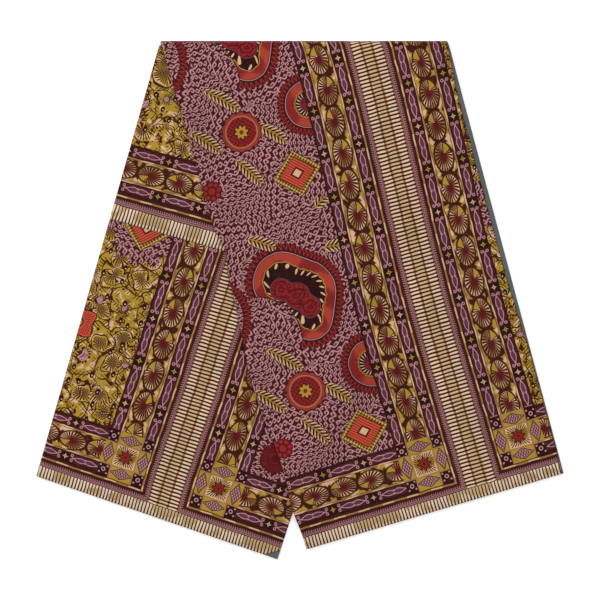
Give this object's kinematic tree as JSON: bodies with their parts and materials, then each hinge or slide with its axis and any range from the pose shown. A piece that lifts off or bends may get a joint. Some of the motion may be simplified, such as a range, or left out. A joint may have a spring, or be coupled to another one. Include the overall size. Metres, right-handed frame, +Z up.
{
  "type": "african print fabric",
  "caption": "Length of wax-print cotton, folded lengthwise to a wide strip and turned over once, so that its two flat arms fan out from one straight fold.",
  "frame": {"origin": "middle of the whole outline, on the surface that the cloth lies on", "axes": "+X runs right along the fold line, +Y runs towards the fold line, +Z is up from the surface"},
  "size_m": [0.6244, 0.6138, 0.0159],
  "materials": {
    "layers": "edges of folded printed cotton",
    "left_cloth": "waxed printed cotton",
    "flap_cloth": "waxed printed cotton",
    "right_cloth": "waxed printed cotton"
  },
  "bodies": {
    "root": {"inner_layers": "layers", "left_panel": "left_cloth", "left_flap": "flap_cloth", "right_panel": "right_cloth"}
  },
  "joints": []
}
